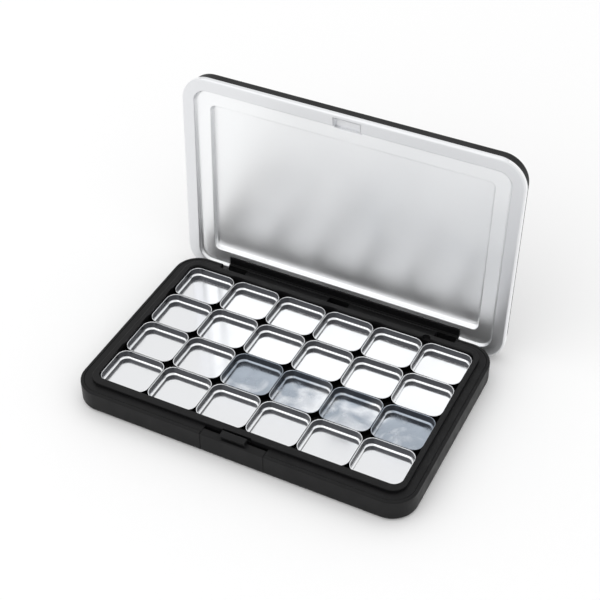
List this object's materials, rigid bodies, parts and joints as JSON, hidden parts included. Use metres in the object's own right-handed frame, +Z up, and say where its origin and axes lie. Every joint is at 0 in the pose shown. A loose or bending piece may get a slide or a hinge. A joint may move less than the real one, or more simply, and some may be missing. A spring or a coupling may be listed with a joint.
{
  "type": "watercolor pan set",
  "caption": "Slim hinged watercolor case with a silver mixing lid, a push latch and loose square steel pans on a magnetic sheet.",
  "frame": {"origin": "centre of the base's flat underside", "axes": "+X along the long side, -Y towards the latch at the front, +Z up out of the pans"},
  "size_m": [0.1308, 0.0951, 0.0865],
  "materials": {
    "black_case": "fine satin moulded",
    "black_lid": "fine satin moulded",
    "silver_tray": "satin anodised",
    "polished_pan": "mirror polished steel",
    "magnet_sheet": "matt",
    "steel_wire": "drawn"
  },
  "bodies": {
    "base": {"base_shell": "black_case", "base_plate": "black_case", "base_frame": "black_case", "magnetic_sheet": "magnet_sheet", "hinge_pin": "steel_wire", "latch_spring": "steel_wire"},
    "lid": {"lid_shell": "black_lid", "lid_tray": "silver_tray", "lid_catch_cup": "silver_tray", "lid_hinge_leaf": "black_case"},
    "latch": {"latch_button": "black_case"},
    "pan_row1_col1": {"pan_row1_col1": "polished_pan"},
    "pan_row1_col2": {"pan_row1_col2": "polished_pan"},
    "pan_row1_col3": {"pan_row1_col3": "polished_pan"},
    "pan_row1_col4": {"pan_row1_col4": "polished_pan"},
    "pan_row1_col5": {"pan_row1_col5": "polished_pan"},
    "pan_row1_col6": {"pan_row1_col6": "polished_pan"},
    "pan_row2_col1": {"pan_row2_col1": "polished_pan"},
    "pan_row2_col2": {"pan_row2_col2": "polished_pan"},
    "pan_row2_col3": {"pan_row2_col3": "polished_pan"},
    "pan_row2_col4": {"pan_row2_col4": "polished_pan"},
    "pan_row2_col5": {"pan_row2_col5": "polished_pan"},
    "pan_row2_col6": {"pan_row2_col6": "polished_pan"},
    "pan_row3_col1": {"pan_row3_col1": "polished_pan"},
    "pan_row3_col2": {"pan_row3_col2": "polished_pan"},
    "pan_row3_col3": {"pan_row3_col3": "polished_pan"},
    "pan_row3_col4": {"pan_row3_col4": "polished_pan"},
    "pan_row3_col5": {"pan_row3_col5": "polished_pan"},
    "pan_row3_col6": {"pan_row3_col6": "polished_pan"},
    "pan_row4_col1": {"pan_row4_col1": "polished_pan"},
    "pan_row4_col2": {"pan_row4_col2": "polished_pan"},
    "pan_row4_col3": {"pan_row4_col3": "polished_pan"},
    "pan_row4_col4": {"pan_row4_col4": "polished_pan"},
    "pan_row4_col5": {"pan_row4_col5": "polished_pan"},
    "pan_row4_col6": {"pan_row4_col6": "polished_pan"}
  },
  "joints": [
    {"name": "lid_hinge", "type": "hinge", "parent": "base", "child": "lid", "pos_m": [0, 0.03955, 0.00455], "axis": [1, 0, 0], "range_deg": [0, 92]},
    {"name": "latch_press", "type": "slide", "parent": "base", "child": "latch", "axis": [0, 1, 0], "range_m": [0, 0.0012], "stiffness_N_per_m": 400, "springref_m": -0.0005, "deforming": ["latch_spring"]},
    {"name": "lift_row1_col1", "type": "slide", "parent": "base", "child": "pan_row1_col1", "axis": [0, 0, -1], "range_m": [-0.012, 0]},
    {"name": "lift_row1_col2", "type": "slide", "parent": "base", "child": "pan_row1_col2", "axis": [0, 0, -1], "range_m": [-0.012, 0]},
    {"name": "lift_row1_col3", "type": "slide", "parent": "base", "child": "pan_row1_col3", "axis": [0, 0, -1], "range_m": [-0.012, 0]},
    {"name": "lift_row1_col4", "type": "slide", "parent": "base", "child": "pan_row1_col4", "axis": [0, 0, -1], "range_m": [-0.012, 0]},
    {"name": "lift_row1_col5", "type": "slide", "parent": "base", "child": "pan_row1_col5", "axis": [0, 0, -1], "range_m": [-0.012, 0]},
    {"name": "lift_row1_col6", "type": "slide", "parent": "base", "child": "pan_row1_col6", "axis": [0, 0, -1], "range_m": [-0.012, 0]},
    {"name": "lift_row2_col1", "type": "slide", "parent": "base", "child": "pan_row2_col1", "axis": [0, 0, -1], "range_m": [-0.012, 0]},
    {"name": "lift_row2_col2", "type": "slide", "parent": "base", "child": "pan_row2_col2", "axis": [0, 0, -1], "range_m": [-0.012, 0]},
    {"name": "lift_row2_col3", "type": "slide", "parent": "base", "child": "pan_row2_col3", "axis": [0, 0, -1], "range_m": [-0.012, 0]},
    {"name": "lift_row2_col4", "type": "slide", "parent": "base", "child": "pan_row2_col4", "axis": [0, 0, -1], "range_m": [-0.012, 0]},
    {"name": "lift_row2_col5", "type": "slide", "parent": "base", "child": "pan_row2_col5", "axis": [0, 0, -1], "range_m": [-0.012, 0]},
    {"name": "lift_row2_col6", "type": "slide", "parent": "base", "child": "pan_row2_col6", "axis": [0, 0, -1], "range_m": [-0.012, 0]},
    {"name": "lift_row3_col1", "type": "slide", "parent": "base", "child": "pan_row3_col1", "axis": [0, 0, -1], "range_m": [-0.012, 0]},
    {"name": "lift_row3_col2", "type": "slide", "parent": "base", "child": "pan_row3_col2", "axis": [0, 0, -1], "range_m": [-0.012, 0]},
    {"name": "lift_row3_col3", "type": "slide", "parent": "base", "child": "pan_row3_col3", "axis": [0, 0, -1], "range_m": [-0.012, 0]},
    {"name": "lift_row3_col4", "type": "slide", "parent": "base", "child": "pan_row3_col4", "axis": [0, 0, -1], "range_m": [-0.012, 0]},
    {"name": "lift_row3_col5", "type": "slide", "parent": "base", "child": "pan_row3_col5", "axis": [0, 0, -1], "range_m": [-0.012, 0]},
    {"name": "lift_row3_col6", "type": "slide", "parent": "base", "child": "pan_row3_col6", "axis": [0, 0, -1], "range_m": [-0.012, 0]},
    {"name": "lift_row4_col1", "type": "slide", "parent": "base", "child": "pan_row4_col1", "axis": [0, 0, -1], "range_m": [-0.012, 0]},
    {"name": "lift_row4_col2", "type": "slide", "parent": "base", "child": "pan_row4_col2", "axis": [0, 0, -1], "range_m": [-0.012, 0]},
    {"name": "lift_row4_col3", "type": "slide", "parent": "base", "child": "pan_row4_col3", "axis": [0, 0, -1], "range_m": [-0.012, 0]},
    {"name": "lift_row4_col4", "type": "slide", "parent": "base", "child": "pan_row4_col4", "axis": [0, 0, -1], "range_m": [-0.012, 0]},
    {"name": "lift_row4_col5", "type": "slide", "parent": "base", "child": "pan_row4_col5", "axis": [0, 0, -1], "range_m": [-0.012, 0]},
    {"name": "lift_row4_col6", "type": "slide", "parent": "base", "child": "pan_row4_col6", "axis": [0, 0, -1], "range_m": [-0.012, 0]}
  ]
}
